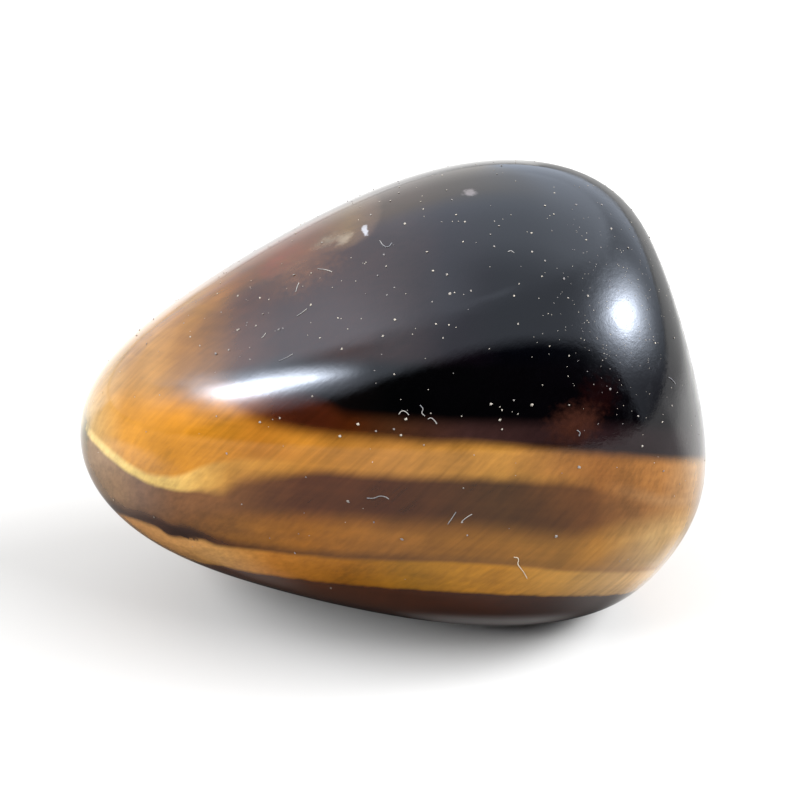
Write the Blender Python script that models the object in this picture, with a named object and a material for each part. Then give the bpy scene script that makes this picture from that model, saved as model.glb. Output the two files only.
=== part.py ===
"""A tumbled tiger's-eye pebble: one solid lump of banded quartz, about 30 mm long.

It is an egg with its nose at -X and its blunt end at +X, which tumbling has worn flatter in a few
places. It lies on a small flat spot, with the origin under the middle of its bounding box. +Z is up.
"""
import math

import bmesh
import bpy
from mathutils import Vector

MM = 0.001

# The egg before the wear, in millimetres.
HALF_LENGTH = 15.5
HALF_DEPTH = 11.4
HALF_HEIGHT = 11.7
BLUNTNESS = 4.7         # how far the fattest section sits past the middle, towards +X
CROWN_SETBACK = 1.4     # how far the crown leans towards the nose, and the belly away from it
NOSE_DROP = 1.2         # how far the nose hangs below the egg's axis, and the blunt end rises above it
ARCH = 1.2              # how far the middle of the axis arches above its two ends

# Where the tumbling has worn the egg: the side worn, as an azimuth from +X towards +Y and an
# elevation, in degrees; the depth worn away and the softness of the worn patch's rim, in millimetres.
WORN_PATCHES = {
    "slope behind the nose": (142, 49, 0.45, 2.5),
    "belly under the nose": (-118, -60, 0.2, 1.2),
    "blunt end": (8, 15, 0.7, 1.5),
    "foot of the blunt end": (-20, -33, 0.1, 1.5),
    "base": (0, -90, 0.2, 1.5),
    "flat spot it lies on": (0, -90, 0.2, 0.0),
}

SPHERE_SUBDIVISIONS = 5     # 5,120 triangles of about 0.9 mm


def clear_scene():
    """Remove every object that is already in the scene."""
    for thing in list(bpy.data.objects):
        bpy.data.objects.remove(thing, do_unlink=True)


def egg_point(direction):
    """The point of the unworn egg, in millimetres, for one direction from the middle of a sphere."""
    swell = 1.0 - direction.x ** 2
    x = HALF_LENGTH * direction.x + BLUNTNESS * swell - CROWN_SETBACK * direction.z
    y = HALF_DEPTH * direction.y
    z = HALF_HEIGHT * direction.z + NOSE_DROP * direction.x + ARCH * swell
    return Vector((x, y, z))


def facing(azimuth, elevation):
    """The unit vector that points to an azimuth and an elevation given in degrees."""
    around = math.radians(azimuth)
    up = math.radians(elevation)
    return Vector((math.cos(around) * math.cos(up), math.sin(around) * math.cos(up), math.sin(up)))


def soft_minimum(a, b, softness):
    """The smaller of two lengths, with the change from one to the other rounded off."""
    return (a + b - math.sqrt((a - b) ** 2 + softness ** 2)) / 2.0


def wear_away(points, side, depth, softness):
    """Press the points that stand furthest out on one side back towards a plane, as tumbling does."""
    reach = [point.dot(side) for point in points]
    plane = max(reach) - depth
    for point, height in zip(points, reach):
        point += side * (soft_minimum(height, plane, softness) - height)


def set_down(points):
    """Move the points so that the lowest is at z = 0 under the middle of their bounding box."""
    middle_x = (min(p.x for p in points) + max(p.x for p in points)) / 2.0
    middle_y = (min(p.y for p in points) + max(p.y for p in points)) / 2.0
    base_z = min(p.z for p in points)
    for point in points:
        point -= Vector((middle_x, middle_y, base_z))


def pebble_mesh():
    """The worn egg as a closed triangle mesh in metres."""
    shape = bmesh.new()
    bmesh.ops.create_icosphere(shape, subdivisions=SPHERE_SUBDIVISIONS, radius=1.0)
    points = [egg_point(vertex.co.normalized()) for vertex in shape.verts]
    for azimuth, elevation, depth, softness in WORN_PATCHES.values():
        wear_away(points, facing(azimuth, elevation), depth, softness)
    set_down(points)
    for vertex, point in zip(shape.verts, points):
        vertex.co = point * MM
    bmesh.ops.recalc_face_normals(shape, faces=shape.faces)
    mesh = bpy.data.meshes.new("stone")
    shape.to_mesh(mesh)
    shape.free()
    mesh.shade_smooth()
    return mesh


def polished_tigers_eye():
    """Polished quartz in the golden brown of the stone's bands."""
    material = bpy.data.materials.new("polished tiger's eye")
    material.use_nodes = True
    surface = material.node_tree.nodes["Principled BSDF"]
    surface.inputs["Base Color"].default_value = (0.17, 0.085, 0.035, 1.0)
    surface.inputs["Roughness"].default_value = 0.08
    surface.inputs["Metallic"].default_value = 0.0
    return material


def main():
    """Make the pebble."""
    clear_scene()
    mesh = pebble_mesh()
    mesh.materials.append(polished_tigers_eye())
    stone = bpy.data.objects.new("stone", mesh)
    bpy.context.scene.collection.objects.link(stone)


main()
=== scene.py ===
"""A tumbled tiger's-eye pebble on a pale table: its glassy polish, its bands of fibres and its dust."""
import math
import random

import bpy
from mathutils import Matrix, Vector


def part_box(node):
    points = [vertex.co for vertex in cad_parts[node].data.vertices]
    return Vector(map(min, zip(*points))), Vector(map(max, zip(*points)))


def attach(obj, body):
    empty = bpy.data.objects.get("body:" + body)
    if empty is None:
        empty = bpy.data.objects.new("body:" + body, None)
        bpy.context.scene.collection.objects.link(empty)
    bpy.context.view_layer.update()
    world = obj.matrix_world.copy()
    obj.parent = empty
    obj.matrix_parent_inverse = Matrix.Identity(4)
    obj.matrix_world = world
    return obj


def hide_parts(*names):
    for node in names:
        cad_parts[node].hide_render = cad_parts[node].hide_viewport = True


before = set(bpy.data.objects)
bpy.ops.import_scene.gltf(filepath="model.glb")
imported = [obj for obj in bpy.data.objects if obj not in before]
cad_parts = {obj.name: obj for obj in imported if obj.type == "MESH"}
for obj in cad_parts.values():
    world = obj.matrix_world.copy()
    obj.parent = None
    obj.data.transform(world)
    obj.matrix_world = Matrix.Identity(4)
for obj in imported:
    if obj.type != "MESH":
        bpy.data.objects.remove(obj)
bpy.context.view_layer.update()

MM = 0.001
LOW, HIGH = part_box("stone")


# ---------------------------------------------------------------- small helpers

def deselect_all():
    """Nothing selected and nothing active."""
    bpy.ops.object.select_all(action="DESELECT")
    bpy.context.view_layer.objects.active = None


def apply_modifier(piece, kind, **settings):
    """Add one modifier with its settings and apply it."""
    modifier = piece.modifiers.new(kind.title(), kind)
    for name, value in settings.items():
        setattr(modifier, name, value)
    bpy.context.view_layer.objects.active = piece
    bpy.ops.object.modifier_apply(modifier=modifier.name)


def linear(hex_code):
    """A linear RGBA colour from an sRGB hex code."""
    channels = [int(hex_code[i:i + 2], 16) / 255 for i in (0, 2, 4)]
    channels = [c / 12.92 if c <= 0.04045 else ((c + 0.055) / 1.055) ** 2.4 for c in channels]
    return (*channels, 1.0)


def add_node(tree, kind, links=None, **settings):
    """Add a node with its settings; links gives each input a value or another node's output."""
    node = tree.nodes.new(kind)
    for name, value in settings.items():
        setattr(node, name, value)
    for name, source in (links or {}).items():
        if isinstance(source, bpy.types.NodeSocket):
            tree.links.new(source, node.inputs[name])
        else:
            node.inputs[name].default_value = source
    return node


def draw_curve(node, points):
    """Draw a curve node's line through the given points, in the pattern's own units."""
    node.mapping.use_clip = False
    node.mapping.extend = "HORIZONTAL"
    curve = node.mapping.curves[0]
    while len(curve.points) < len(points):
        curve.points.new(0.0, 0.0)
    for spot, place in zip(curve.points, points):
        spot.location = place
        spot.handle_type = "AUTO_CLAMPED"
    node.mapping.update()


# ---------------------------------------------------------------- camera

LOOK_AT = Vector((0.4, 0.0, 10.3)) * MM
CAMERA_DISTANCE = 145 * MM
CAMERA_ELEVATION = math.radians(28)
LENS = 135.0
SENSOR = 36.0
FRAME_SIDE = 800        # pixels; the frame is square


def make_camera():
    """A long lens that looks down on the pebble from the front."""
    lens = bpy.data.cameras.new("camera")
    lens.lens = LENS
    lens.sensor_width = SENSOR
    lens.clip_start = 0.01
    camera = bpy.data.objects.new("camera", lens)
    bpy.context.scene.collection.objects.link(camera)
    back = Vector((0.0, -math.cos(CAMERA_ELEVATION), math.sin(CAMERA_ELEVATION)))
    camera.location = LOOK_AT + back * CAMERA_DISTANCE
    camera.rotation_mode = "QUATERNION"
    camera.rotation_quaternion = (-back).to_track_quat("-Z", "Y")
    bpy.context.scene.camera = camera
    return camera


camera = make_camera()


def surface_at(spot, skin):
    """The place on the skin, and its normal, that the camera sees at a spot of its frame (pixels)."""
    turn = camera.rotation_quaternion
    across, down = spot
    aim = Vector((across - FRAME_SIDE / 2, FRAME_SIDE / 2 - down, -LENS / SENSOR * FRAME_SIDE))
    hit, place, normal, _ = skin.ray_cast(camera.location, (turn @ aim).normalized())
    return (place, normal) if hit else (None, None)


# ---------------------------------------------------------------- the stone's skin

GRID_CUTS = 47      # squares of about 0.4 mm before the last subdivision


def polished_skin():
    """The pebble's surface: a rounded block drawn onto the solid and relaxed until no facet is left."""
    deselect_all()
    bpy.ops.mesh.primitive_cube_add(size=1.0, location=(LOW + HIGH) / 2, scale=HIGH - LOW)
    skin = bpy.context.active_object
    skin.name = "polished_stone"
    skin.data.name = "polished_stone"
    bpy.ops.object.mode_set(mode="EDIT")
    bpy.ops.mesh.select_all(action="SELECT")
    bpy.ops.mesh.subdivide(number_cuts=GRID_CUTS)
    bpy.ops.object.mode_set(mode="OBJECT")
    apply_modifier(skin, "CAST", cast_type="SPHERE", factor=1.0)
    bpy.ops.object.transform_apply(location=True, rotation=True, scale=True)
    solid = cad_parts["stone"]
    apply_modifier(skin, "SHRINKWRAP", target=solid, wrap_method="NEAREST_SURFACEPOINT")
    apply_modifier(skin, "SMOOTH", factor=0.5, iterations=8)
    apply_modifier(skin, "SUBSURF", levels=1, render_levels=1)
    skin.data.shade_smooth()
    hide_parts("stone")
    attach(skin, "root")
    return skin


skin = polished_skin()


# ---------------------------------------------------------------- tiger's eye

# Tiger's eye is quartz that has grown through sheets of blue asbestos fibre. Where the iron in the
# fibres rusted it is gold to brown; where it did not, it is the blue-grey to black of hawk's eye.
# All the bands are flat sheets in the stone, so they are drawn by height along one direction.
ACROSS_SHEETS = Vector((0.06, 0.42, 0.905)).normalized()
ACROSS_TOP_SHEET = Vector((-0.41, 0.0, 0.91))
ALONG_FIBRES = Vector((0.68, -0.08, 0.73)).normalized()    # the fibres cross the sheets aslant
HALF_LENGTH = 15.5      # mm, a little more than half the stone
PITTING = 4.5           # how much rougher the polish of the blunt end is
KNOCKED_END = (6.5, 9.5)    # mm along the stone, where the knocks begin and where they are full
POLISH_RIPPLE = 0.0011      # mm, the depth of the finest waves in the polish
MARK_FRAY = 1.8             # how raggedly the small marks end
MARK_RIM = 1.82             # where a mark ends, measured in its own reach, with its fray
# How much the fibres, the silky patches, the broad clouds and the thin layers change the colour; the fibres
# and silky patches are grain and also painted chatoyant sheen.
FIBRE_CONTRAST = 0.75
SILK_CONTRAST = 0.45
CLOUD_CONTRAST = 0.8
LAYER_CONTRAST = 0.3

# Each sheet: how soft its lower edge is (mm), the height of that edge (mm) and the sheet's colour,
# all by the place along the stone (mm).
BASE_COLOURS = [(-15, "4F3D30"), (-9, "573322"), (-5, "502C18"), (0, "4A2410"), (5, "46200C"),
                (9, "3A1D10"), (15, "332A22")]
SHEETS = [
    ("orange seam", [(-9, 0.12), (3, 0.10)],
     [(-15.5, 0.9), (-9.3, 1.1), (-8, 1.2), (-6.6, 1.08), (-4, 1.04), (-2, 1.0), (3, 1.05), (8, 1.08),
      (15.5, 1.1)],
     [(-15, "9F6B3A"), (-9.5, "BC8447"), (-8, "C08640"), (-5.5, "A96720"), (-2, "93580C"), (1, "98630E"),
      (5, "BC7A18"), (9.5, "BC893F"), (13, "BA925E")]),
    ("dark line", [(-9, 0.16), (3, 0.14)],
     [(-15.5, 3.3), (-11.1, 2.8), (-10.4, 2.45), (-9.6, 2.5), (-8.9, 2.52), (-8.1, 2.3), (-5, 2.3),
      (0, 2.43), (4, 2.58), (9, 2.38), (15.5, 2.3)],
     [(-15, "503C30"), (-11, "2E180E"), (-9, "2C150B"), (-8, "48260F"), (-6, "54300F"), (0, "623A12"),
      (8, "8B5A20"), (13, "92693A")]),
    ("brown gold", [(-9, 0.2), (3, 0.25)],
     [(-15.5, 3.9), (-11.1, 3.5), (-10.4, 3.15), (-9.6, 3.1), (-8.9, 2.95), (-8.1, 2.75), (-5, 2.6),
      (0, 2.74), (4, 2.88), (9, 2.62), (15.5, 2.5)],
     [(-15, "594535"), (-10, "593516"), (-7, "734512"), (-4, "7E490A"), (0, "7B4B17"), (5, "7F5018"),
      (9.5, "996524"), (12, "977342")]),
    ("brown seam", [(-9, 0.5), (3, 0.75)],
     [(-15.5, 4.2), (-11, 3.6), (-8, 3.9), (-4.6, 4.15), (0, 4.25), (5, 4.2), (8, 4.0), (10.5, 4.6),
      (15.5, 5.2)],
     [(-15, "6E5943"), (-13, "74563A"), (-11.8, "614633"), (-10, "633E20"), (-8, "5E391A"), (-6, "4B2910"),
      (-4, "411F0A"), (0, "391B0A"), (5, "3A210A"), (9, "502C0D"), (11.5, "6F451D"), (15, "896130")]),
    # The honey line is a honey-coloured band; its bright yellow towards the nose is painted chatoyant sheen.
    ("honey line with painted sheen", [(-15, 0.14), (-9.5, 0.14), (-7, 0.55), (-4, 0.3), (15, 0.3)],
     [(-15.5, 7.7), (-14.5, 6.9), (-13.3, 6.0), (-12.2, 5.38), (-11.2, 5.02), (-9.8, 4.85), (-8.8, 5.0),
      (-7.8, 5.1), (-6.9, 5.75), (-5.9, 6.0), (-5, 6.1), (-2.8, 6.45), (0, 6.45), (3.5, 6.6), (7, 6.65),
      (9, 6.5), (10.8, 6.0), (13, 5.6), (15.5, 5.4)],
     [(-15, "A88C5A"), (-12.5, "B59550"), (-10, "B28B45"), (-8.6, "A87A36"), (-7.4, "8E5F22"),
      (-4, "885618"), (0, "825421"), (5, "895C21"), (9.4, "704216"), (14.2, "7F5D37")]),
    ("gold", [(-9, 0.18), (3, 0.30)],
     [(-15.5, 8.15), (-14.5, 7.35), (-13.3, 6.45), (-12.2, 5.83), (-11.2, 5.47), (-10.2, 5.5), (-8.3, 6.3),
      (-6.3, 6.75), (-2.8, 6.85), (3.5, 7.0), (9, 6.9), (13, 6.0), (15.5, 5.8)],
     [(-14.5, "8C7043"), (-12.5, "9B651D"), (-10, "9A6011"), (-8, "925B16"), (-6, "7C4A12"), (-4, "8A5618"),
      (0, "825421"), (5, "895B21"), (7.5, "7A4C1C"), (9.4, "6F4115"), (12.3, "75491C"), (14.2, "7F5D37")]),
    ("brown nose", [(-9, 0.8), (3, 0.8)],
     [(-15.5, 9.0), (-9, 9.1), (-7, 9.6), (15.5, 10)],
     [(-14.7, "8C6B40"), (-13.3, "83602F"), (-12.2, "855A22"), (-11.2, "805723"), (-9.8, "694211"),
      (-8.6, "5D3806")]),
]
# The dark cap of hawk's eye, which ends towards the nose in a soft upright edge.
CAP_EDGE = (-9.5, -6.6)         # mm along the stone
WINE_EDGE = ("wine seam", [(-9, 0.55), (-4.5, 0.5), (-2, 0.42), (4, 0.34)],
             [(-15.5, 10.5), (-8.3, 9.9), (-7, 8.95), (-6, 8.5), (-4.5, 8.18), (-3, 8.12), (-1, 8.12),
              (1, 8.12), (3.5, 8.2), (8.9, 8.02), (12, 7.85), (15.5, 7.6)],
             [(-8.5, "6C3F12"), (-6.3, "4E2708"), (-5.2, "321205"), (-4.2, "290D04"), (-3, "2C0E04"),
              (-1.8, "301103"), (0, "2F180A"), (3.5, "2A1814"), (5, "21120F"), (9, "190D0D"),
              (12, "120A0A")])
CAP_SHEETS = [
    ("black", [(-9, 0.45), (3, 0.42)],
     [(-15.5, 10.4), (-6, 9.9), (-4.2, 9.85), (-3, 9.55), (-1.8, 9.05), (0, 9.05), (2, 9.05), (5, 9.17),
      (9, 9.35), (15.5, 9.1)],
     [(-8.6, "271203"), (-6.5, "070302"), (0, "010101"), (15, "020102")]),
    ("hawk's eye", [(-9, 0.45), (3, 0.45)],
     [(-15.5, 10.6), (-7.5, 10.7), (-6, 11.0), (-5, 11.4), (-3, 11.5), (15.5, 12.5)],
     [(-8.6, "3F2209"), (-7.2, "351A08"), (-5, "1E0A02"), (-2.3, "1D0A03"), (0.4, "180D0A"),
      (2.5, "070305"), (5, "010102"), (15, "020202")]),
]
# A thin rusted sheet lies over the cap at the back of the nose; it is measured on its own slope.
TOP_SHEET = ("top sheet", [(-9, 0.10), (3, 0.10)],
             [(-15.5, 18.4), (-8.6, 18.8), (-7, 19.1), (-5, 19.2), (-1, 19.18), (0, 19.6), (15.5, 26)],
             [(-9.5, "68440F"), (-8.5, "5E380A"), (-7, "4A2407"), (-5, "431A08"), (-3.6, "3B1B0C"),
              (-2, "3F2B14"), (-1, "352419"), (0.3, "0D0A0A"), (15, "020202")])

# Small marks in the stone: their middle and their reach each way (mm), their turn (degrees), how softly
# they fade out and their colour.
MARKS = [
    ("red flush", (-5.0, -2.82, 19.0), (1.3, 0.8, 0.5), 20, 0.5, "451309"),
    ("rusty haze", (-4.3, -3.7, 19.1), (1.5, 1.2, 0.8), 20, 1.0, "40240F"),
    ("tan streak", (-2.85, -2.75, 20.12), (0.75, 0.5, 0.13), 24, 0.7, "534434"),
    ("tan streak", (-2.1, -2.95, 20.3), (0.6, 0.4, 0.12), 40, 0.7, "5A4B39"),
    ("white chip", (-1.22, -2.85, 20.64), (0.14, 0.45, 0.26), 35, 0.33, "7C7774"),
    ("pale chip", (3.62, -1.51, 21.96), (0.27, 0.34, 0.3), 30, 0.5, "504845"),
    ("green spot", (-14.75, -2.05, 9.8), (0.3, 0.75, 0.75), 0, 1.0, "4E4529"),
    ("red patch", (9.3, -9.5, 15.5), (0.95, 0.9, 0.8), 30, 0.6, "0A0202"),
    ("rusty patch", (8.2, -10.25, 14.5), (0.95, 1.0, 0.65), 10, 1.0, "2C150D"),
    ("dark spot", (-10.0, -6.6, 6.75), (0.95, 0.6, 0.22), -8, 0.33, "2A1409"),
]


def draw_sheet(tree, height, along, colour, sheet):
    """Lay one sheet over the colours below it; gives the new colours."""
    name, soft_line, edge_line, stops = sheet
    edge = add_node(tree, "ShaderNodeFloatCurve", {"Value": along}, label=name)
    draw_curve(edge, edge_line)
    above = add_node(tree, "ShaderNodeMath", {0: height, 1: edge.outputs[0]},
                     operation="SUBTRACT").outputs[0]
    soft = add_node(tree, "ShaderNodeFloatCurve", {"Value": along}, label=name + " softness")
    draw_curve(soft, soft_line)
    above = add_node(tree, "ShaderNodeMath", {0: above, 1: soft.outputs[0]}, operation="DIVIDE").outputs[0]
    inside = add_node(tree, "ShaderNodeMapRange", {"Value": above, "From Min": -1.0, "From Max": 1.0},
                      interpolation_type="SMOOTHSTEP").outputs[0]
    own = colour_along(tree, along, stops)
    return add_node(tree, "ShaderNodeMix", {"Factor": inside, "A": colour, "B": own},
                    data_type="RGBA").outputs["Result"]


def colour_along(tree, along, stops):
    """A row of colours from the nose to the blunt end."""
    share = add_node(tree, "ShaderNodeMapRange", {"Value": along, "From Min": -HALF_LENGTH,
                     "From Max": HALF_LENGTH}).outputs[0]
    ramp = add_node(tree, "ShaderNodeValToRGB", {"Fac": share})
    elements = ramp.color_ramp.elements
    while len(elements) < len(stops):
        elements.new(1.0)
    for element, (spot, hex_code) in zip(elements, stops):
        element.position = (spot + HALF_LENGTH) / (2 * HALF_LENGTH)
        element.color = linear(hex_code)
    return ramp.outputs[0]


def tigers_eye():
    """Polished tiger's eye: a quartz face as smooth as glass over silky bands of fibre."""
    material = bpy.data.materials.new("polished tiger's eye")
    material.use_nodes = True
    tree = material.node_tree
    shader = tree.nodes["Principled BSDF"]
    # Quartz has an IOR of 1.544; tumbling in fine powder leaves it near to a mirror.
    shader.inputs["IOR"].default_value = 1.544
    shader.inputs["Metallic"].default_value = 0.0

    place = add_node(tree, "ShaderNodeTexCoord").outputs["Object"]
    place = add_node(tree, "ShaderNodeVectorMath", {0: place, "Scale": 1 / MM},
                     operation="SCALE").outputs[0]
    along = add_node(tree, "ShaderNodeSeparateXYZ", {0: place}).outputs["X"]

    # Fibres about 0.2 mm across and 3 mm long, all one way.
    fibre_turn = ALONG_FIBRES.to_track_quat("X", "Z").to_euler()
    fibre_place = add_node(tree, "ShaderNodeMapping", {"Vector": place, "Rotation": fibre_turn,
                           "Scale": (3.2, 0.22, 0.22)}, vector_type="TEXTURE").outputs[0]
    fibres = add_node(tree, "ShaderNodeTexNoise", {"Vector": fibre_place, "Scale": 1.0, "Detail": 3.0,
                      "Roughness": 0.6}).outputs[0]
    silk_place = add_node(tree, "ShaderNodeMapping", {"Vector": place, "Rotation": fibre_turn,
                          "Scale": (5.0, 0.9, 0.9)}, vector_type="TEXTURE").outputs[0]
    silk = add_node(tree, "ShaderNodeTexNoise", {"Vector": silk_place, "Scale": 1.0, "Detail": 2.0,
                    "Roughness": 0.5}).outputs[0]
    # Within a sheet lie thinner layers, about 0.3 mm thick, that run on for many millimetres.
    sheet_turn = ACROSS_SHEETS.to_track_quat("Z", "Y").to_euler()
    layer_place = add_node(tree, "ShaderNodeMapping", {"Vector": place, "Rotation": sheet_turn,
                           "Scale": (7.0, 7.0, 0.3)}, vector_type="TEXTURE").outputs[0]
    layers = add_node(tree, "ShaderNodeTexNoise", {"Vector": layer_place, "Scale": 1.0,
                      "Detail": 2.0}).outputs[0]
    cloud = add_node(tree, "ShaderNodeTexNoise", {"Vector": place, "Scale": 0.4, "Detail": 3.0}).outputs[0]
    fray = add_node(tree, "ShaderNodeMath", {0: fibres, 1: 0.5}, operation="SUBTRACT").outputs[0]
    wave = add_node(tree, "ShaderNodeMath", {0: silk, 1: 0.5}, operation="SUBTRACT").outputs[0]
    drift = add_node(tree, "ShaderNodeMath", {0: cloud, 1: 0.5}, operation="SUBTRACT").outputs[0]
    layer = add_node(tree, "ShaderNodeMath", {0: layers, 1: 0.5}, operation="SUBTRACT").outputs[0]
    unrest = add_node(tree, "ShaderNodeMath", {0: fray, 1: 0.15, 2: wave},
                      operation="MULTIPLY_ADD").outputs[0]
    # Fine unevenness, about 0.3 mm across, that frays the marks and hazes the polish.
    haze = add_node(tree, "ShaderNodeTexNoise", {"Vector": place, "Scale": 3.5, "Detail": 3.0,
                    "Roughness": 0.6}).outputs[0]

    # The height across the sheets, frayed by the fibres and gently wavy.
    height = add_node(tree, "ShaderNodeVectorMath", {0: place, 1: ACROSS_SHEETS},
                      operation="DOT_PRODUCT").outputs["Value"]
    height = add_node(tree, "ShaderNodeMath", {0: unrest, 1: 0.15, 2: height},
                      operation="MULTIPLY_ADD").outputs[0]

    colour = colour_along(tree, along, BASE_COLOURS)
    for sheet in SHEETS:
        colour = draw_sheet(tree, height, along, colour, sheet)

    cap = draw_sheet(tree, height, along, colour, WINE_EDGE)
    for sheet in CAP_SHEETS:
        cap = draw_sheet(tree, height, along, cap, sheet)
    near_cap = add_node(tree, "ShaderNodeMath", {0: unrest, 1: 1.0, 2: along},
                        operation="MULTIPLY_ADD").outputs[0]
    in_cap = add_node(tree, "ShaderNodeMapRange", {"Value": near_cap, "From Min": CAP_EDGE[0],
                      "From Max": CAP_EDGE[1]}, interpolation_type="SMOOTHSTEP").outputs[0]
    colour = add_node(tree, "ShaderNodeMix", {"Factor": in_cap, "A": colour, "B": cap},
                      data_type="RGBA").outputs["Result"]

    slope = add_node(tree, "ShaderNodeVectorMath", {0: place, 1: ACROSS_TOP_SHEET},
                     operation="DOT_PRODUCT").outputs["Value"]
    slope = add_node(tree, "ShaderNodeMath", {0: unrest, 1: 0.2, 2: slope},
                     operation="MULTIPLY_ADD").outputs[0]
    colour = draw_sheet(tree, slope, along, colour, TOP_SHEET)

    for name, middle, reach, turn, fade, hex_code in MARKS:
        spot = add_node(tree, "ShaderNodeMapping", {"Vector": place, "Location": middle, "Scale": reach,
                        "Rotation": (0.0, -math.radians(turn), 0.0)},
                        vector_type="TEXTURE", label=name).outputs[0]
        spot = add_node(tree, "ShaderNodeVectorMath", {0: spot}, operation="LENGTH").outputs["Value"]
        spot = add_node(tree, "ShaderNodeMath", {0: haze, 1: MARK_FRAY, 2: spot},
                        operation="MULTIPLY_ADD").outputs[0]
        spot = add_node(tree, "ShaderNodeMapRange", {"Value": spot, "From Min": MARK_RIM + fade,
                        "From Max": MARK_RIM - fade}, interpolation_type="SMOOTHSTEP").outputs[0]
        colour = add_node(tree, "ShaderNodeMix", {"Factor": spot, "A": colour, "B": linear(hex_code)},
                          data_type="RGBA").outputs["Result"]

    # Painted chatoyant sheen over the grain: fine bright and dull fibres, and broad silky patches of deeper
    # amber; the clouds and thin layers are changes in the stone's own tone.
    sheen_and_grain = 1.0
    for pattern, contrast in ((fray, FIBRE_CONTRAST), (wave, SILK_CONTRAST), (drift, CLOUD_CONTRAST),
                              (layer, LAYER_CONTRAST)):
        sheen_and_grain = add_node(tree, "ShaderNodeMath", {0: pattern, 1: contrast, 2: sheen_and_grain},
                          operation="MULTIPLY_ADD").outputs[0]
    colour = add_node(tree, "ShaderNodeVectorMath", {0: colour, "Scale": sheen_and_grain},
                      operation="SCALE").outputs[0]
    tree.links.new(colour, shader.inputs["Base Color"])

    # The polish is a touch hazier here and there, and follows the fibres by a hair's breadth.
    rough = add_node(tree, "ShaderNodeMapRange", {"Value": haze, "From Min": 0.3, "From Max": 0.7,
                     "To Min": 0.045, "To Max": 0.085}).outputs[0]
    # The blunt end has knocked against other stones: its polish is dulled in patches about 1 mm across.
    knocked = add_node(tree, "ShaderNodeMapRange", {"Value": along, "From Min": KNOCKED_END[0],
                       "From Max": KNOCKED_END[1]}, interpolation_type="SMOOTHSTEP").outputs[0]
    patches = add_node(tree, "ShaderNodeTexNoise", {"Vector": place, "Scale": 1.1, "Detail": 4.0,
                       "Roughness": 0.65}).outputs[0]
    dulled = add_node(tree, "ShaderNodeMapRange", {"Value": patches, "From Min": 0.42, "From Max": 0.62,
                      "To Max": 0.11}, interpolation_type="SMOOTHSTEP").outputs[0]
    rough = add_node(tree, "ShaderNodeMath", {0: dulled, 1: knocked, 2: rough},
                     operation="MULTIPLY_ADD").outputs[0]
    tree.links.new(rough, shader.inputs["Roughness"])
    ripple = add_node(tree, "ShaderNodeMath", {0: haze, 1: fibres}, operation="ADD").outputs[0]
    # The knocked end is also finely pitted.
    pits = add_node(tree, "ShaderNodeTexNoise", {"Vector": place, "Scale": 5.0, "Detail": 3.0,
                    "Roughness": 0.7}).outputs[0]
    pits = add_node(tree, "ShaderNodeMath", {0: pits, 1: knocked}, operation="MULTIPLY").outputs[0]
    ripple = add_node(tree, "ShaderNodeMath", {0: pits, 1: PITTING, 2: ripple},
                      operation="MULTIPLY_ADD").outputs[0]
    bump = add_node(tree, "ShaderNodeBump", {"Height": ripple, "Strength": 1.0,
                    "Distance": POLISH_RIPPLE * MM}).outputs[0]
    tree.links.new(bump, shader.inputs["Normal"])
    return material


skin.data.materials.clear()
skin.data.materials.append(tigers_eye())


# ---------------------------------------------------------------- dust and lint

# Where the larger specks and the short threads lie on the polish, by spots of the camera's frame
# (pixels across and down); a speck's third number is its size.
SPECKS = [
    (447, 275, 1.3), (450, 294, 1.3), (405, 224, 1.1), (371, 215, 1.0), (384, 255, 1.1), (427, 252, 1.0),
    (433, 271, 1.0), (294, 275, 1.1), (311, 305, 1.0), (279, 330, 1.2), (338, 318, 0.8), (395, 320, 1.1),
    (229, 350, 1.0), (216, 354, 1.2), (342, 349, 1.1), (383, 336, 0.9), (263, 314, 0.8), (256, 326, 0.8),
    (260, 298, 0.8), (238, 296, 0.8), (499, 226, 1.0), (576, 205, 0.9), (611, 229, 1.0), (586, 240, 0.9),
    (628, 248, 1.0), (463, 242, 0.9), (456, 215, 0.8), (465, 222, 0.8), (452, 200, 0.8), (532, 252, 0.9),
    (545, 261, 0.9), (564, 279, 1.1), (568, 298, 0.9), (588, 296, 0.9), (471, 291, 0.9), (514, 296, 0.9),
    (519, 284, 0.8), (436, 324, 0.9), (449, 325, 0.8), (443, 338, 0.8), (518, 324, 0.8), (569, 356, 0.9),
    (491, 404, 1.2), (502, 410, 0.8), (500, 420, 1.2), (518, 414, 0.8), (532, 405, 1.3), (569, 405, 0.8),
    (610, 389, 0.9), (655, 343, 0.9), (662, 422, 0.9), (638, 416, 0.9), (406, 419, 1.2), (358, 424, 1.1),
    (376, 431, 0.8), (394, 429, 0.9), (401, 435, 1.0), (424, 445, 0.9), (579, 467, 1.3), (348, 501, 1.2),
    (242, 504, 0.9), (306, 477, 0.8), (114, 500, 0.9), (462, 522, 0.9), (402, 539, 1.4), (556, 536, 1.5),
    (374, 522, 0.9), (260, 422, 1.0), (280, 418, 0.9), (340, 436, 1.1), (331, 588, 0.8), (642, 446, 0.9),
]
THREADS = [
    [(299, 283), (297, 288), (296, 292)],
    [(297, 316), (302, 313), (307, 309)],
    [(262, 338), (264, 336), (266, 333)],
    [(279, 361), (286, 358), (293, 354)],
    [(380, 241), (384, 246), (388, 247), (392, 243)],
    [(318, 269), (326, 270), (332, 272)],
    [(508, 252), (511, 251), (514, 253)],
    [(668, 377), (672, 380), (675, 384)],
    [(399, 414), (402, 411), (406, 412), (409, 415)],
    [(420, 405), (423, 409), (422, 413), (425, 416)],
    [(428, 419), (431, 418), (434, 420), (437, 424)],
    [(448, 524), (452, 518), (456, 512)],
    [(462, 521), (467, 517), (472, 514)],
    [(577, 430), (580, 433), (579, 436)],
    [(367, 498), (374, 498), (380, 496), (386, 497), (389, 499)],
]
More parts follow.
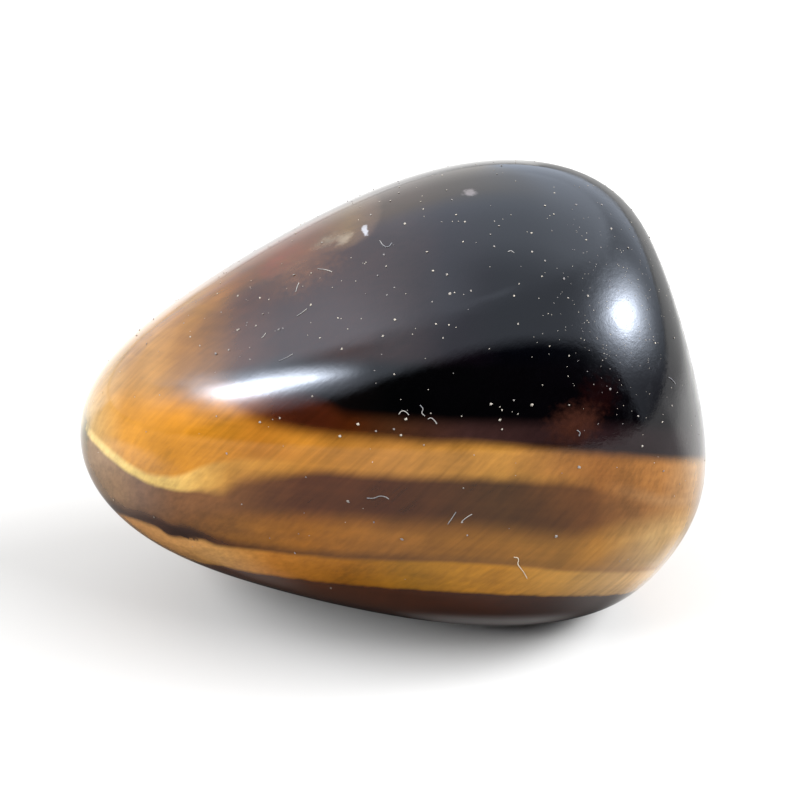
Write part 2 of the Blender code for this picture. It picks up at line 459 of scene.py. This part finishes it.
PALE_THREADS = [
    [(514, 557), (518, 558), (518, 564), (523, 571), (527, 578)],
]
SPECK_RADIUS = 0.053      # mm
THREAD_RADIUS = 0.020     # mm
STRAY_SPECKS = 420
CAUGHT_SPECKS = 260
# The pitted end: its middle and spread in the frame, across and down, and its specks' sizes.
PITTED_ACROSS = (620, 38)
PITTED_DOWN = (305, 62)
CAUGHT_SIZES = (0.24, 0.46)


def model_speck():
    """One crumb of dust: a small uneven grain."""
    deselect_all()
    bpy.ops.mesh.primitive_ico_sphere_add(subdivisions=1, radius=1.0)
    speck = bpy.context.active_object
    bpy.ops.object.mode_set(mode="EDIT")
    bpy.ops.mesh.select_all(action="SELECT")
    bpy.ops.transform.vertex_random(offset=0.35, uniform=0.6, normal=0.4, seed=7)
    bpy.ops.object.mode_set(mode="OBJECT")
    return speck


def lay_speck(model, place, normal, size):
    """Lay a copy of the grain on the polish, turned and squashed at random."""
    speck = model.copy()
    speck.data = model.data.copy()
    bpy.context.scene.collection.objects.link(speck)
    radius = SPECK_RADIUS * MM * size
    lying = normal.to_track_quat("Z", "Y").to_matrix().to_4x4()
    spin = Matrix.Rotation(random.uniform(0, math.tau), 4, "Z")
    stretch = Matrix.Diagonal((random.uniform(0.8, 1.3), random.uniform(0.7, 1.0),
                               random.uniform(0.45, 0.75), 1))
    speck.matrix_world = Matrix.Translation(place + normal * radius * 0.35) @ lying @ spin @ stretch \
        @ Matrix.Scale(radius, 4)
    return speck


def strew_specks(skin):
    """Dust over the whole polish: the specks that catch the eye, and a fine scatter on every side."""
    random.seed(41)
    model = model_speck()
    specks = []
    for across, down, size in SPECKS:
        place, normal = surface_at((across, down), skin)
        if place is not None:
            specks.append(lay_speck(model, place, normal, size))
    middle = (LOW + HIGH) / 2
    while len(specks) < len(SPECKS) + STRAY_SPECKS:
        way = Vector([random.gauss(0, 1) for _ in range(3)]).normalized()
        size = 0.45 + 0.5 * random.random() ** 3
        hit, place, normal, _ = skin.ray_cast(middle, way)
        # Dust falls from above, so little of it clings to the lower faces.
        if hit and normal.z > random.uniform(-0.5, 0.6):
            specks.append(lay_speck(model, place, normal, size))
    # The pitted end holds more of the finest dust.
    while len(specks) < len(SPECKS) + STRAY_SPECKS + CAUGHT_SPECKS:
        spot = (random.gauss(*PITTED_ACROSS), random.gauss(*PITTED_DOWN))
        place, normal = surface_at(spot, skin)
        if place is not None:
            specks.append(lay_speck(model, place, normal, random.uniform(*CAUGHT_SIZES)))
    bpy.data.objects.remove(model)
    return specks


def lay_thread(spots, skin):
    """A short textile fibre that lies on the polish along a row of spots of the frame."""
    deselect_all()
    bpy.ops.curve.primitive_bezier_curve_add()
    thread = bpy.context.active_object
    bpy.ops.object.mode_set(mode="EDIT")
    bpy.ops.curve.select_all(action="SELECT")
    bpy.ops.curve.delete(type="VERT")
    bpy.ops.object.mode_set(mode="OBJECT")
    spline = thread.data.splines.new("BEZIER")
    spline.bezier_points.add(len(spots) - 1)
    for point, spot in zip(spline.bezier_points, spots):
        place, normal = surface_at(spot, skin)
        point.co = place + normal * THREAD_RADIUS * MM * 0.8
        point.handle_left_type = "AUTO"
        point.handle_right_type = "AUTO"
    spline.resolution_u = 4
    thread.data.bevel_depth = THREAD_RADIUS * MM
    thread.data.bevel_resolution = 1
    thread.data.use_fill_caps = True
    bpy.ops.object.convert(target="MESH")
    return bpy.context.active_object


def join_pieces(pieces, name):
    """Make one piece of many, with its place in its mesh."""
    deselect_all()
    for piece in pieces:
        piece.select_set(True)
    bpy.context.view_layer.objects.active = pieces[0]
    if len(pieces) > 1:
        bpy.ops.object.join()
    whole = bpy.context.active_object
    bpy.ops.object.transform_apply(location=True, rotation=True, scale=True)
    whole.name = name
    whole.data.name = name
    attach(whole, "root")
    return whole


def matt_fibre(name, hex_code, other_hex):
    """Dust and lint: dull crumbs and threads of cotton, mineral powder and skin, grey to cream."""
    material = bpy.data.materials.new(name)
    material.use_nodes = True
    tree = material.node_tree
    shader = tree.nodes["Principled BSDF"]
    shader.inputs["Roughness"].default_value = 0.9
    shader.inputs["Specular IOR Level"].default_value = 0.2
    place = add_node(tree, "ShaderNodeTexCoord").outputs["Object"]
    # Patches of about 1 mm, so that neighbouring crumbs differ.
    tone = add_node(tree, "ShaderNodeTexNoise", {"Vector": place, "Scale": 1 / MM, "Detail": 1.0}).outputs[0]
    tone = add_node(tree, "ShaderNodeMapRange", {"Value": tone, "From Min": 0.35,
                    "From Max": 0.65}).outputs[0]
    colour = add_node(tree, "ShaderNodeMix", {"Factor": tone, "A": linear(hex_code), "B": linear(other_hex)},
                      data_type="RGBA").outputs["Result"]
    tree.links.new(colour, shader.inputs["Base Color"])
    return material


bpy.context.view_layer.update()
specks = strew_specks(skin)
dust = join_pieces(specks, "dust")
dust.data.materials.clear()
dust.data.materials.append(matt_fibre("mineral dust", "625B55", "918573"))
for name, rows, hex_code, other_hex in (("lint", THREADS, "5E5B58", "8A8174"),
                                        ("pale_lint", PALE_THREADS, "A8977A", "D2BE9C")):
    lint = join_pieces([lay_thread(spots, skin) for spots in rows], name)
    lint.data.materials.clear()
    lint.data.materials.append(matt_fibre(name.replace("_", " ") + " cotton", hex_code, other_hex))


# ---------------------------------------------------------------- studio

LIGHT_TINT = (0.88, 0.975, 1.145)       # cool daylight; the table's warm paper evens it out
PAPER_COLOUR = (0.375, 0.338, 0.288, 1.0)
# Painted shade and light: the paper as the polish mirrors it and as it bounces light, dimmer near the stone
# and brighter behind it.
PAPER_IN_POLISH = (0.125, 0.113, 0.096, 1.0)
PAPER_BEHIND = (0.34, 0.306, 0.258, 1.0)
SHADED_SHARE = 0.85         # how much the stone's own shade takes from the paper behind it on the right
LEFT_GAIN = 0.6             # painted light: how much brighter the paper lies far off behind the nose, in the polish
RIGHT_DIMMING = 0.55        # how much less light the paper has far off on the right
CONTACT_SHADE = 0.22        # what is left of the paper's light close under the stone
# Painted pools of light where light leaks in under the stone: the middle and the reach (m), the gain.
LEAKS = [
    ((0.0046, -0.0056, 0.0), (0.0038, 0.0016, 1.0), 0.24),
    ((0.0145, -0.0015, 0.0), (0.004, 0.004, 1.0), 0.32),
    ((0.0145, -0.0085, 0.0), (0.005, 0.004, 1.0), 0.12),
    ((-0.045, -0.006, 0.0), (0.02, 0.013, 1.0), 0.24),
    ((-0.009, -0.006, 0.0), (0.0035, 0.0022, 1.0), 0.1),
]
LEAK_TONE = (1.0, 0.9, 0.76)    # warmed by the stone


def make_floor():
    """The table: a wide sheet of pale matt paper."""
    deselect_all()
    bpy.ops.mesh.primitive_plane_add(size=4.0, location=(0, 0, 0))
    floor = bpy.context.active_object
    floor.name = "floor"
    paper = bpy.data.materials.new("matt drawing paper")
    paper.use_nodes = True
    tree = paper.node_tree
    shader = tree.nodes["Principled BSDF"]
    shader.inputs["Roughness"].default_value = 0.95
    shader.inputs["Specular IOR Level"].default_value = 0.1
    # The camera sees clean paper; in the stone's polish and in the light it bounces, it has painted shade,
    # dimmer before the stone and under it, and painted pools of light where light leaks in under the stone.
    place = add_node(tree, "ShaderNodeTexCoord").outputs["Object"]
    x, y, _ = add_node(tree, "ShaderNodeSeparateXYZ", {0: place}).outputs
    lit_line = add_node(tree, "ShaderNodeMath", {0: x, 1: -0.1, 2: y}, operation="MULTIPLY_ADD").outputs[0]
    lit = add_node(tree, "ShaderNodeMapRange", {"Value": lit_line, "From Min": -0.004, "From Max": 0.008},
                   interpolation_type="SMOOTHSTEP").outputs[0]
    left_line = add_node(tree, "ShaderNodeMath", {0: x, 1: 0.5, 2: y}, operation="MULTIPLY_ADD").outputs[0]
    left_lit = add_node(tree, "ShaderNodeMapRange", {"Value": left_line, "From Min": -0.008,
                        "From Max": 0.008}, interpolation_type="SMOOTHSTEP").outputs[0]
    lit = add_node(tree, "ShaderNodeMath", {0: lit, 1: left_lit}, operation="MULTIPLY").outputs[0]
    shade_line = add_node(tree, "ShaderNodeMath", {0: y, 1: -0.1, 2: x},
                          operation="MULTIPLY_ADD").outputs[0]
    shade = add_node(tree, "ShaderNodeMapRange", {"Value": shade_line, "From Min": 0.0, "From Max": 0.008},
                     interpolation_type="SMOOTHSTEP").outputs[0]
    # Close behind the stone the paper stays bright, so the polish fades out softly at its edge.
    away_line = add_node(tree, "ShaderNodeMath", {0: y, 1: 0.35, 2: x}, operation="MULTIPLY_ADD").outputs[0]
    away = add_node(tree, "ShaderNodeMapRange", {"Value": away_line, "From Min": 0.027, "From Max": 0.048},
                    interpolation_type="SMOOTHSTEP").outputs[0]
    shade = add_node(tree, "ShaderNodeMath", {0: shade, 1: away}, operation="MULTIPLY").outputs[0]
    far = add_node(tree, "ShaderNodeMapRange", {"Value": y, "From Min": 0.022, "From Max": 0.045,
                   "To Max": -SHADED_SHARE}, interpolation_type="SMOOTHSTEP").outputs[0]
    shade = add_node(tree, "ShaderNodeMath", {0: shade, 1: far, 2: 1.0},
                     operation="MULTIPLY_ADD").outputs[0]
    side_line = add_node(tree, "ShaderNodeMath", {0: x, 1: -0.45, 2: y},
                         operation="MULTIPLY_ADD").outputs[0]
    side = add_node(tree, "ShaderNodeMapRange", {"Value": side_line, "From Min": 0.004, "From Max": -0.02,
                    "To Max": -RIGHT_DIMMING}, interpolation_type="SMOOTHSTEP").outputs[0]
    far_right = add_node(tree, "ShaderNodeMapRange", {"Value": x, "From Min": 0.045, "From Max": 0.08},
                         interpolation_type="SMOOTHSTEP").outputs[0]
    side = add_node(tree, "ShaderNodeMath", {0: side, 1: far_right, 2: 1.0},
                    operation="MULTIPLY_ADD").outputs[0]
    shade = add_node(tree, "ShaderNodeMath", {0: shade, 1: side}, operation="MULTIPLY").outputs[0]
    lit = add_node(tree, "ShaderNodeMath", {0: lit, 1: shade}, operation="MULTIPLY").outputs[0]
    leftwards = add_node(tree, "ShaderNodeMapRange", {"Value": x, "From Min": -0.012, "From Max": -0.035,
                         "To Max": LEFT_GAIN}, interpolation_type="SMOOTHSTEP").outputs[0]
    leftwards = add_node(tree, "ShaderNodeMath", {0: leftwards, 1: 1.0}, operation="ADD").outputs[0]
    lit = add_node(tree, "ShaderNodeMath", {0: lit, 1: leftwards}, operation="MULTIPLY").outputs[0]
    mirrored = add_node(tree, "ShaderNodeMix", {"Factor": lit, "A": PAPER_IN_POLISH, "B": PAPER_BEHIND},
                        data_type="RGBA", clamp_factor=False).outputs["Result"]
    under = add_node(tree, "ShaderNodeMapping", {"Vector": place, "Location": (-0.0015, 0.0, 0.0),
                     "Scale": (1.25, 1.0, 1.0)}, vector_type="TEXTURE").outputs[0]
    under = add_node(tree, "ShaderNodeVectorMath", {0: under}, operation="LENGTH").outputs["Value"]
    contact = add_node(tree, "ShaderNodeMapRange", {"Value": under, "From Min": 0.009, "From Max": 0.015,
                       "To Min": CONTACT_SHADE}, interpolation_type="SMOOTHSTEP").outputs[0]
    mirrored = add_node(tree, "ShaderNodeVectorMath", {0: mirrored, "Scale": contact},
                        operation="SCALE").outputs[0]
    for middle, reach, gain in LEAKS:
        leak = add_node(tree, "ShaderNodeMapping", {"Vector": place, "Location": middle, "Scale": reach},
                        vector_type="TEXTURE").outputs[0]
        leak = add_node(tree, "ShaderNodeVectorMath", {0: leak}, operation="LENGTH").outputs["Value"]
        leak = add_node(tree, "ShaderNodeMapRange", {"Value": leak, "From Min": 1.4, "From Max": 0.3,
                        "To Max": gain}, interpolation_type="SMOOTHSTEP").outputs[0]
        mirrored = add_node(tree, "ShaderNodeVectorMath", {0: leak, 1: LEAK_TONE, 2: mirrored},
                            operation="MULTIPLY_ADD").outputs[0]
    seen = add_node(tree, "ShaderNodeLightPath").outputs["Is Camera Ray"]
    white = add_node(tree, "ShaderNodeMix", {"Factor": seen, "A": mirrored, "B": PAPER_COLOUR},
                     data_type="RGBA").outputs["Result"]
    tree.links.new(white, shader.inputs["Base Color"])
    floor.data.materials.append(paper)


# The tent's walls, by the turn about the stone: 0 is the camera's side, 90 the right, -90 the left.
WALL_BRIGHTNESS = [(-180, 1.2), (-120, 1.4), (-90, 1.4), (-76, 1.05), (-64, 0.85), (-50, 1.0),
                   (-38, 1.2), (-28, 1.05), (-15, 0.85), (50, 0.85), (100, 0.8), (150, 1.1), (180, 1.2)]
LOW_SIDE_GLOOM = [(-180, 0), (-122, 0), (-100, 0.5), (-66, 0.6), (-50, 0), (48, 0), (72, 0.45), (90, 0.75),
                  (108, 0.85), (122, 0.7), (140, 0.2), (152, 0), (180, 0)]
OPEN_FRONT = [(-180, -20), (-80, -20), (-67, 0), (-57, 9), (-40, 20.6), (-28, 33.2), (-18, 39.8), (-9, 44),
              (2, 46.7), (17, 47.8), (34, 45.2), (48, 41), (59, 35), (65, 27), (69, 12), (73, 0),
              (82, -20), (180, -20)]
# Each lamp: where it is, its long axis, its reach ahead, behind and sideways, its shift, the flag that cuts
# its far end (where the cut is full and where it starts), how far its far end bends upwards, its peak,
# its fall and the most that it gives.
LAMPS = {
    "strip lamp": ((-0.788, -0.455, 0.415), (0.615, -0.618, 0.490), (0.488, 0.132, 0.0595), (-0.023, 0.012),
                   (0.415, -0.951), 0.15, 620, 1.7, 25),
    "round lamp": ((0.86, 0.10, 0.50), (0.151, 0.890, -0.438), (0.336, 0.24, 0.141), (0.05, 0.0),
                   (3.0, 2.0), 0.0, 63, 1.9, 34),
}
# The ceiling's far left corner is warmer, where its cloth has yellowed.
FAR_CORNER_TINT = (1.02, 0.99, 0.96)
CEILING = 1.6                           # its brightness
CEILING_MIDDLE = (-1.38, 2.03, 1.0)     # in heights of the ceiling over the stone, as is its reach
CEILING_RIM = (2.88, 2.62)              # where it has ended, and where it starts to end
HEM = 2.71


def make_tent():
    """A light tent as the world: bright ceiling, pale walls, an open dark front and two lamps."""
    world = bpy.data.worlds.new("light tent")
    bpy.context.scene.world = world
    world.use_nodes = True
    tree = world.node_tree
    tree.nodes.clear()
    way = add_node(tree, "ShaderNodeTexCoord").outputs["Generated"]
    x, y, z = add_node(tree, "ShaderNodeSeparateXYZ", {0: way}).outputs
    front = add_node(tree, "ShaderNodeMath", {0: y, 1: -1.0}, operation="MULTIPLY").outputs[0]
    turn = add_node(tree, "ShaderNodeMath", {0: x, 1: front}, operation="ARCTAN2").outputs[0]
    turn = add_node(tree, "ShaderNodeMath", {0: turn}, operation="DEGREES").outputs[0]
    rise = add_node(tree, "ShaderNodeMath", {0: z}, operation="ARCSINE").outputs[0]
    rise = add_node(tree, "ShaderNodeMath", {0: rise}, operation="DEGREES").outputs[0]

    wall = add_node(tree, "ShaderNodeFloatCurve", {"Value": turn})
    draw_curve(wall, WALL_BRIGHTNESS)
    gloom = add_node(tree, "ShaderNodeFloatCurve", {"Value": turn})
    draw_curve(gloom, LOW_SIDE_GLOOM)
    # The gloom reaches higher on the right than on the left.
    top = add_node(tree, "ShaderNodeMapRange", {"Value": turn, "From Min": -45.0, "From Max": 45.0,
                   "To Min": 14.0, "To Max": 40.0}).outputs[0]
    foot = add_node(tree, "ShaderNodeMapRange", {"Value": turn, "From Min": -45.0, "From Max": 45.0,
                    "To Min": 2.0, "To Max": 12.0}).outputs[0]
    low = add_node(tree, "ShaderNodeMapRange", {"Value": rise, "From Min": top, "From Max": foot},
                   interpolation_type="SMOOTHSTEP").outputs[0]
    gloom = add_node(tree, "ShaderNodeMath", {0: gloom.outputs[0], 1: low}, operation="MULTIPLY").outputs[0]
    kept = add_node(tree, "ShaderNodeMath", {0: 1.0, 1: gloom}, operation="SUBTRACT").outputs[0]
    walls = add_node(tree, "ShaderNodeMath", {0: wall.outputs[0], 1: kept}, operation="MULTIPLY").outputs[0]

    # The ceiling is a round bright sheet, seen where its plane is crossed.
    level = add_node(tree, "ShaderNodeMath", {0: z, 1: 0.05}, operation="MAXIMUM").outputs[0]
    stretch = add_node(tree, "ShaderNodeMath", {0: 1.0, 1: level}, operation="DIVIDE").outputs[0]
    overhead = add_node(tree, "ShaderNodeVectorMath", {0: way, "Scale": stretch},
                        operation="SCALE").outputs[0]
    reach = add_node(tree, "ShaderNodeVectorMath", {0: overhead, 1: CEILING_MIDDLE},
                     operation="DISTANCE").outputs["Value"]
    ceiling = add_node(tree, "ShaderNodeMapRange", {"Value": reach, "From Min": CEILING_RIM[0],
                       "From Max": CEILING_RIM[1]}, interpolation_type="SMOOTHSTEP").outputs[0]
    over_x, over_y, _ = add_node(tree, "ShaderNodeSeparateXYZ", {0: overhead}).outputs
    left = add_node(tree, "ShaderNodeMapRange", {"Value": over_x, "From Min": -0.3, "From Max": -0.75},
                    interpolation_type="SMOOTHSTEP").outputs[0]
    near = add_node(tree, "ShaderNodeMapRange", {"Value": over_y, "From Min": 0.9, "From Max": -0.35,
                    "To Max": 1.2}, interpolation_type="SMOOTHSTEP").outputs[0]
    right = add_node(tree, "ShaderNodeMapRange", {"Value": over_x, "From Min": 0.15, "From Max": 0.5,
                     "To Min": CEILING, "To Max": CEILING + 0.15},
                     interpolation_type="SMOOTHSTEP").outputs[0]
    beyond = add_node(tree, "ShaderNodeMapRange", {"Value": over_y, "From Min": 0.8, "From Max": 3.0,
                      "To Max": 0.38}, interpolation_type="SMOOTHSTEP").outputs[0]
    glow = add_node(tree, "ShaderNodeMath", {0: left, 1: near, 2: right},
                    operation="MULTIPLY_ADD").outputs[0]
    glow = add_node(tree, "ShaderNodeMath", {0: glow, 1: beyond}, operation="SUBTRACT").outputs[0]
    # Its front edge hangs lower and is dimmer, with a bright hem.
    front_edge = add_node(tree, "ShaderNodeMapRange", {"Value": over_y, "From Min": 0.35, "From Max": -0.15,
                          "To Max": -0.34}, interpolation_type="SMOOTHSTEP").outputs[0]
    front_right = add_node(tree, "ShaderNodeMapRange", {"Value": over_x, "From Min": -0.28, "From Max": 0.0},
                           interpolation_type="SMOOTHSTEP").outputs[0]
    kept = add_node(tree, "ShaderNodeMath", {0: front_edge, 1: front_right, 2: 1.0},
                    operation="MULTIPLY_ADD").outputs[0]
    glow = add_node(tree, "ShaderNodeMath", {0: glow, 1: kept}, operation="MULTIPLY").outputs[0]
    off_hem = add_node(tree, "ShaderNodeMath", {0: reach, 1: -HEM}, operation="ADD").outputs[0]
    off_hem = add_node(tree, "ShaderNodeMath", {0: off_hem}, operation="ABSOLUTE").outputs[0]
    hem = add_node(tree, "ShaderNodeMapRange", {"Value": off_hem, "From Min": 0.05, "From Max": 0.0,
                   "To Max": 0.5}, interpolation_type="SMOOTHSTEP").outputs[0]
    hem_end = add_node(tree, "ShaderNodeMapRange", {"Value": over_x, "From Min": 0.2, "From Max": 0.03},
                       interpolation_type="SMOOTHSTEP").outputs[0]
    hem = add_node(tree, "ShaderNodeMath", {0: hem, 1: hem_end}, operation="MULTIPLY").outputs[0]
    hem = add_node(tree, "ShaderNodeMath", {0: hem, 1: front_right}, operation="MULTIPLY").outputs[0]
    glow = add_node(tree, "ShaderNodeMath", {0: glow, 1: hem}, operation="ADD").outputs[0]
    light = add_node(tree, "ShaderNodeMix", {"Factor": ceiling, "A": walls, "B": glow},
                     data_type="FLOAT").outputs["Result"]

    arch = add_node(tree, "ShaderNodeFloatCurve", {"Value": turn})
    draw_curve(arch, OPEN_FRONT)
    over = add_node(tree, "ShaderNodeMath", {0: rise, 1: arch.outputs[0]}, operation="SUBTRACT").outputs[0]
    shut = add_node(tree, "ShaderNodeMapRange", {"Value": over, "From Min": -3.0, "From Max": 6.0,
                    "To Min": 0.003}, interpolation_type="SMOOTHSTEP").outputs[0]
    light = add_node(tree, "ShaderNodeMath", {0: light, 1: shut}, operation="MULTIPLY").outputs[0]

    for middle, axis, size, shift, flag, bow, peak, fall, most in LAMPS.values():
        middle = Vector(middle).normalized()
        axis = Vector(axis)
        axis = (axis - middle * axis.dot(middle)).normalized()
        up = middle.cross(axis)
        facing = add_node(tree, "ShaderNodeVectorMath", {0: way, 1: middle},
                          operation="DOT_PRODUCT").outputs["Value"]
        facing = add_node(tree, "ShaderNodeMath", {0: facing, 1: 0.15}, operation="MAXIMUM").outputs[0]
        spread = []
        for line, offset in zip((axis, up), shift):
            reach = add_node(tree, "ShaderNodeVectorMath", {0: way, 1: line},
                             operation="DOT_PRODUCT").outputs["Value"]
            reach = add_node(tree, "ShaderNodeMath", {0: reach, 1: facing}, operation="DIVIDE").outputs[0]
            spread.append(add_node(tree, "ShaderNodeMath", {0: reach, 1: offset},
                                   operation="ADD").outputs[0])
        bend = add_node(tree, "ShaderNodeMapRange", {"Value": spread[0], "From Min": -0.1, "From Max": -0.45,
                        "To Max": bow}, interpolation_type="SMOOTHSTEP").outputs[0]
        spread[1] = add_node(tree, "ShaderNodeMath", {0: spread[1], 1: bend},
                             operation="SUBTRACT").outputs[0]
        ahead = add_node(tree, "ShaderNodeMath", {0: spread[0], 1: size[0]}, operation="DIVIDE").outputs[0]
        behind = add_node(tree, "ShaderNodeMath", {0: spread[0], 1: -size[1]},
                          operation="DIVIDE").outputs[0]
        longways = add_node(tree, "ShaderNodeMath", {0: ahead, 1: behind}, operation="MAXIMUM").outputs[0]
        sideways = add_node(tree, "ShaderNodeMath", {0: spread[1], 1: size[2]},
                            operation="DIVIDE").outputs[0]
        oval = add_node(tree, "ShaderNodeCombineXYZ", {0: longways, 1: sideways}).outputs[0]
        oval = add_node(tree, "ShaderNodeVectorMath", {0: oval}, operation="LENGTH").outputs["Value"]
        fade = add_node(tree, "ShaderNodeMath", {0: oval, 1: -fall}, operation="MULTIPLY").outputs[0]
        fade = add_node(tree, "ShaderNodeMath", {0: fade}, operation="EXPONENT").outputs[0]
        lamp = add_node(tree, "ShaderNodeMath", {0: fade, 1: peak}, operation="MULTIPLY").outputs[0]
        open_end = add_node(tree, "ShaderNodeMapRange", {"Value": spread[0], "From Min": flag[0],
                            "From Max": flag[1]}, interpolation_type="SMOOTHSTEP").outputs[0]
        lamp = add_node(tree, "ShaderNodeMath", {0: lamp, 1: open_end}, operation="MULTIPLY").outputs[0]
        lamp = add_node(tree, "ShaderNodeMath", {0: lamp, 1: most}, operation="MINIMUM").outputs[0]
        light = add_node(tree, "ShaderNodeMath", {0: light, 1: lamp}, operation="ADD").outputs[0]

    corner_left = add_node(tree, "ShaderNodeMapRange", {"Value": over_x, "From Min": -2.4, "From Max": -1.8},
                           interpolation_type="SMOOTHSTEP").outputs[0]
    low_line = add_node(tree, "ShaderNodeMath", {0: over_y, 1: 0.5, 2: over_x},
                        operation="MULTIPLY_ADD").outputs[0]
    corner_low = add_node(tree, "ShaderNodeMapRange", {"Value": low_line, "From Min": -0.3, "From Max": 0.3},
                          interpolation_type="SMOOTHSTEP").outputs[0]
    corner_left = add_node(tree, "ShaderNodeMath", {0: corner_left, 1: corner_low},
                           operation="MAXIMUM").outputs[0]
    corner_far = add_node(tree, "ShaderNodeMapRange", {"Value": over_y, "From Min": 0.8, "From Max": 1.6},
                          interpolation_type="SMOOTHSTEP").outputs[0]
    corner_near = add_node(tree, "ShaderNodeMapRange", {"Value": over_x, "From Min": 0.6, "From Max": -0.4},
                           interpolation_type="SMOOTHSTEP").outputs[0]
    corner = add_node(tree, "ShaderNodeMath", {0: corner_left, 1: corner_far},
                      operation="MULTIPLY").outputs[0]
    corner = add_node(tree, "ShaderNodeMath", {0: corner, 1: corner_near}, operation="MULTIPLY").outputs[0]
    tint = add_node(tree, "ShaderNodeMix", {"Factor": corner, "A": (*LIGHT_TINT, 1.0),
                    "B": (*FAR_CORNER_TINT, 1.0)}, data_type="RGBA").outputs["Result"]
    shine = add_node(tree, "ShaderNodeBackground", {"Color": tint, "Strength": light}).outputs[0]
    add_node(tree, "ShaderNodeOutputWorld", {"Surface": shine})


# Each soft box: its turn and rise (degrees) about the stone, its width and height (m), its brightness.
SOFT_BOXES = {
    "left soft box": (-70, 40, 0.56, 0.18, 14.0),
    "right soft box": (80, 40, 0.56, 0.18, 24.5),
}
SOFT_BOX_DISTANCE = 0.5


def hang_soft_boxes():
    """Two wide soft lights at the sides, flagged off from the polish, where they leave no glint."""
    for name, (turn, rise, width, height, brightness) in SOFT_BOXES.items():
        light = bpy.data.lights.new(name, "AREA")
        light.shape = "RECTANGLE"
        light.size = width
        light.size_y = height
        light.energy = brightness * math.pi * width * height
        light.color = LIGHT_TINT
        lamp = bpy.data.objects.new(name, light)
        bpy.context.scene.collection.objects.link(lamp)
        turn, rise = math.radians(turn), math.radians(rise)
        way = Vector((math.sin(turn) * math.cos(rise), -math.cos(turn) * math.cos(rise), math.sin(rise)))
        lamp.location = way * SOFT_BOX_DISTANCE
        lamp.rotation_mode = "QUATERNION"
        lamp.rotation_quaternion = (-way).to_track_quat("-Z", "Y")
        lamp.visible_glossy = False


make_floor()
make_tent()
hang_soft_boxes()
bpy.context.scene.view_settings.view_transform = "Standard"
